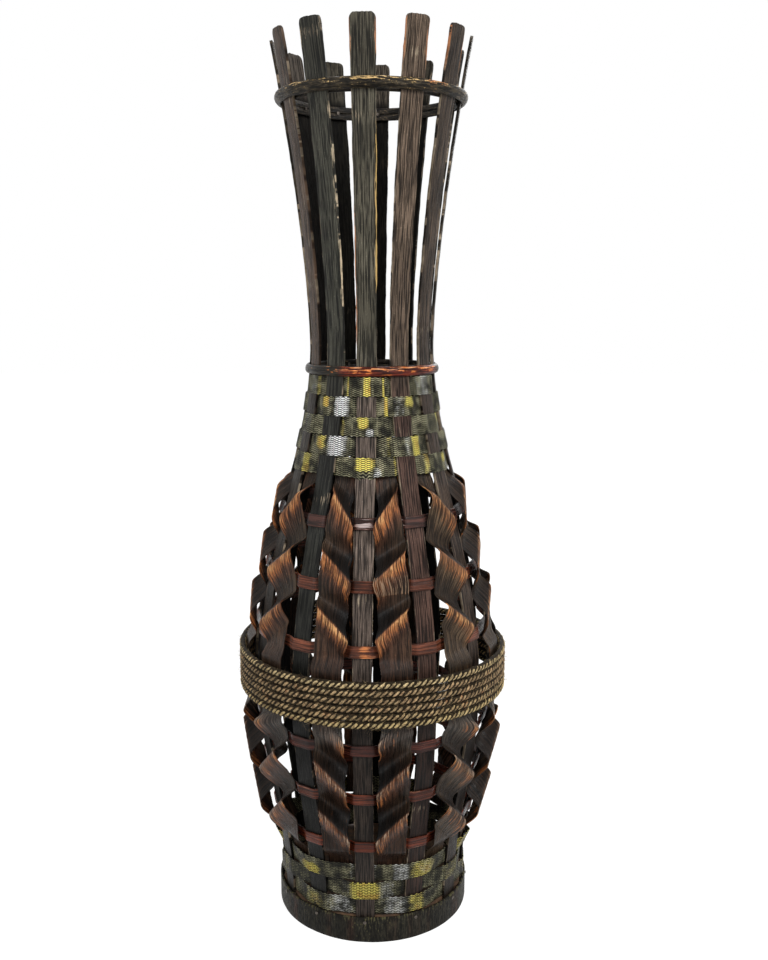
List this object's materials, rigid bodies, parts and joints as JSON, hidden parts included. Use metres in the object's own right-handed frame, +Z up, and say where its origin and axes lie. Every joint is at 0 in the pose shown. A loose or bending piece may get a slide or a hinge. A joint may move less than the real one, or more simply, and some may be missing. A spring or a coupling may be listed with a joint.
{
  "type": "bamboo vase",
  "caption": "Tall dark bamboo vase with upright slats flaring at the mouth, a curled splint weave round the belly, woven ribbons and a rope band.",
  "frame": {"origin": "middle of the foot, on the surface that the vase stands on", "axes": "+Z up along the vase's axis, -Y towards the front"},
  "size_m": [0.2202, 0.222, 0.7],
  "materials": {
    "slat": "satin, dark stained bamboo",
    "splint": "satin, stained and rubbed",
    "weaver": "semi-gloss",
    "ribbon": "woven, matte",
    "hoop": "satin, rubbed",
    "band": "matte",
    "board": "matte",
    "rope": "twisted fibre, matte",
    "nail": "dull"
  },
  "bodies": {
    "root": {"base_board": "board", "base_band": "band", "slat_01": "slat", "slat_02": "slat", "slat_03": "slat", "slat_04": "slat", "slat_05": "slat", "slat_06": "slat", "slat_07": "slat", "slat_08": "slat", "slat_09": "slat", "slat_10": "slat", "slat_11": "slat", "slat_12": "slat", "curled_splint_01": "splint", "curled_splint_02": "splint", "curled_splint_03": "splint", "curled_splint_04": "splint", "curled_splint_05": "splint", "curled_splint_06": "splint", "curled_splint_07": "splint", "curled_splint_08": "splint", "curled_splint_09": "splint", "curled_splint_10": "splint", "curled_splint_11": "splint", "curled_splint_12": "splint", "weaver_1": "weaver", "weaver_2": "weaver", "weaver_3": "weaver", "weaver_4": "weaver", "weaver_5": "weaver", "weaver_6": "weaver", "foot_ribbon_1": "ribbon", "foot_ribbon_2": "ribbon", "foot_ribbon_3": "ribbon", "neck_ribbon_1": "ribbon", "neck_ribbon_2": "ribbon", "neck_ribbon_3": "ribbon", "neck_ribbon_4": "ribbon", "neck_ribbon_5": "ribbon", "rim_hoop_outer": "hoop", "rim_hoop_inner": "hoop", "neck_hoop_outer": "hoop", "neck_hoop_inner": "hoop", "rope_binding": "rope", "rim_nails": "nail", "neck_nails": "nail", "base_nails": "nail"}
  },
  "joints": []
}
